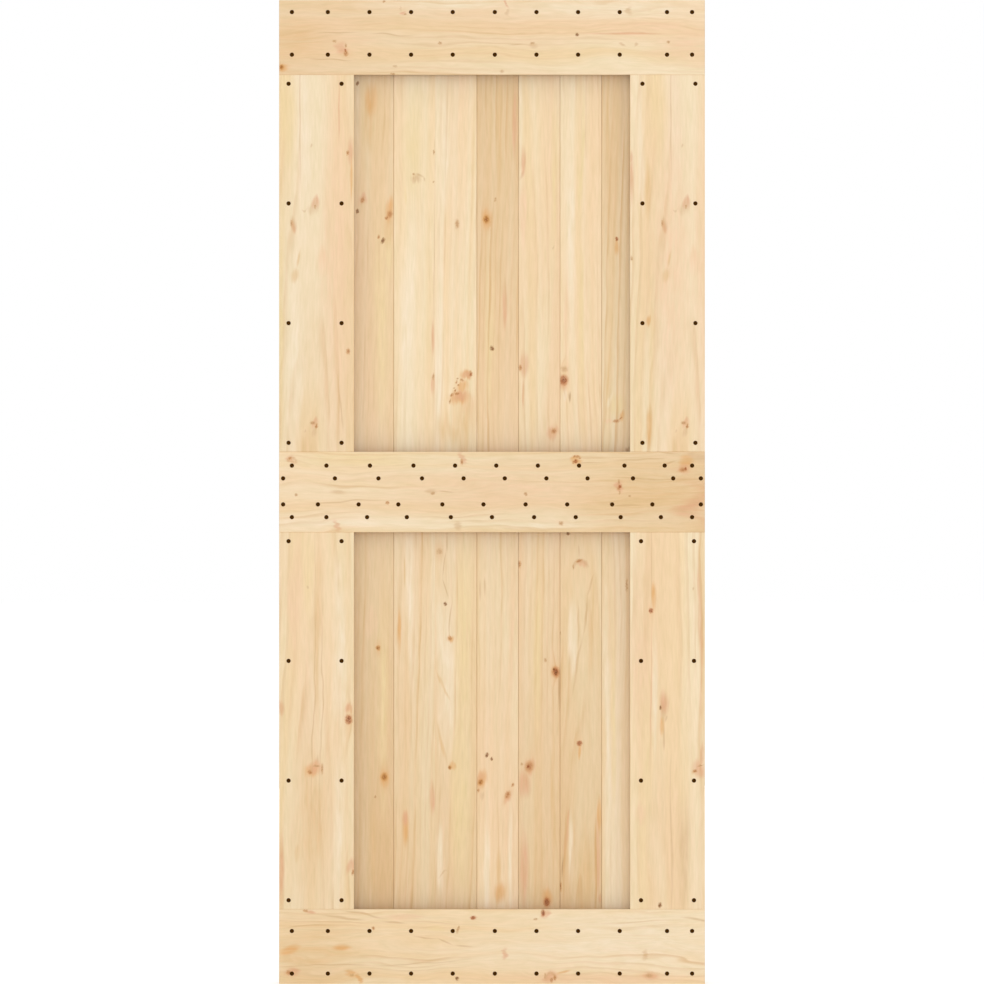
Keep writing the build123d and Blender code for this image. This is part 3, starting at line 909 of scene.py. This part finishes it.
BRONZE = paint(70, 40, 4)
RUBBED_BRONZE = paint(96, 60, 10)
RUB_SCALE = 900.0
RUB_EDGE = (0.4, 0.7)
BRONZE_ROUGHNESS = (0.6, 0.2)
BRONZE_SHINE = 0.05


def bronzed_steel():
    """Dark bronze on steel: rubbed a little brighter here and there."""
    material = bpy.data.materials.new("bronzed_steel")
    material.use_nodes = True
    tree = material.node_tree
    shader = tree.nodes["Principled BSDF"]
    place = Signal(tree.nodes.new("ShaderNodeTexCoord").outputs["Object"])
    rub = place.node("TexNoise", {}, {"Vector": place, "Scale": RUB_SCALE, "Detail": 3.0})
    dark = rub.step(*RUB_EDGE).between(BRONZE, RUBBED_BRONZE)
    tree.links.new(dark.socket, shader.inputs["Base Color"])
    tree.links.new(rub.uneven(*BRONZE_ROUGHNESS).socket, shader.inputs["Roughness"])
    shader.inputs["Specular IOR Level"].default_value = BRONZE_SHINE
    return material


bronze = bronzed_steel()
chance = np.random.default_rng(TURN_SEED)
for board in [*FRONT_RAILS, *FRONT_STILES]:
    centres, face = seats(board)
    turns = chance.uniform(0, np.pi / 2, len(centres))
    heads = screw_heads(centres, face, turns)
    screws = grid_mesh(board.replace("front_", "") + "_screws", heads)
    screws.data.materials.append(bronze)
    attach(screws, "root")


# The stage: the leaf stands on a wide pale floor in front of white, in even light from all round, with a
# large soft lamp near the camera and an equal one behind the leaf. A long lens looks straight on.

WHITE = (1.0, 1.0, 1.0, 1.0)
FLOOR_TONE = (0.8, 0.8, 0.8, 1.0)
FLOOR_ROUGHNESS = 0.9
FLOOR_REACH = 40.0
FLOOR_GLOW = 0.31
SKY_LIGHT = 0.86
SKY_SEEN = 0.14
KEY_PLACE = (0.9, -7.4, -0.3)
BACK_PLACE = (-0.9, 7.4, -0.3)
LAMP_SIZE = 4.5
LAMP_POWER = 103.0
LENS = 200.0
SENSOR = 36.0
low, high = (np.array(corner) for corner in cad_box)
middle = (low + high) / 2


def floor_piece():
    """A flat grid at the foot of the leaf."""
    reach = np.array([-FLOOR_REACH, FLOOR_REACH])
    across, back = np.meshgrid(reach, reach)
    corners = np.stack([across, back, np.full_like(across, low[2])], axis=-1).reshape(-1, 3)
    mesh = bpy.data.meshes.new("floor")
    mesh.from_pydata(corners, [], [(0, 1, 3, 2)])
    piece = bpy.data.objects.new("floor", mesh)
    bpy.context.scene.collection.objects.link(piece)
    return piece


def seen(tree):
    """1 for the rays of a view and of what glossy or clear pieces show, and 0 for all other light."""
    rays = Signal(tree.nodes.new("ShaderNodeLightPath").outputs["Is Camera Ray"])
    return rays.most(rays.beside("Is Glossy Ray")).most(rays.beside("Is Transmission Ray"))


def pale_floor():
    """Matt pale paint that a view shows with an added glow, so that it looks white where the light falls on
    it and keeps the shadow of the leaf."""
    material = bpy.data.materials.new("pale_floor")
    material.use_nodes = True
    tree = material.node_tree
    shader = tree.nodes["Principled BSDF"]
    shader.inputs["Base Color"].default_value = FLOOR_TONE
    shader.inputs["Roughness"].default_value = FLOOR_ROUGHNESS
    shown = seen(tree)
    glow = shown.node("Emission", {}, {"Color": WHITE, "Strength": shown * FLOOR_GLOW})
    both = shown.node("AddShader", {}, {0: Signal(shader.outputs[0]), 1: glow})
    tree.links.new(both.socket, tree.nodes["Material Output"].inputs["Surface"])
    return material


floor = floor_piece()
floor.data.materials.append(pale_floor())

world = bpy.data.worlds.new("studio")
world.use_nodes = True
bpy.context.scene.world = world
tree = world.node_tree
sky = tree.nodes["Background"]
sky.inputs["Color"].default_value = WHITE
tree.links.new(seen(tree).uneven(SKY_LIGHT, SKY_SEEN).socket, sky.inputs["Strength"])


def lamp(name, place):
    """A square soft lamp that faces the middle of the leaf."""
    light = bpy.data.lights.new(name, "AREA")
    light.size = LAMP_SIZE
    light.energy = LAMP_POWER
    piece = bpy.data.objects.new(name, light)
    piece.location = place
    aim = piece.location.copy()
    aim.x, aim.y, aim.z = middle - np.array(place)
    piece.rotation_euler = aim.to_track_quat("-Z", "Y").to_euler()
    bpy.context.scene.collection.objects.link(piece)


lamp("key_lamp", KEY_PLACE)
lamp("back_lamp", BACK_PLACE)

lens = bpy.data.cameras.new("camera")
lens.lens = LENS
lens.sensor_width = SENSOR
camera = bpy.data.objects.new("camera", lens)
distance = (high[2] - low[2]) * LENS / SENSOR
camera.location = (middle[0], low[1] - distance, middle[2])
camera.rotation_euler = (math.pi / 2, 0.0, 0.0)
lens.clip_end = 4 * FLOOR_REACH
bpy.context.scene.collection.objects.link(camera)
bpy.context.scene.camera = camera
bpy.context.scene.view_settings.view_transform = "Standard"
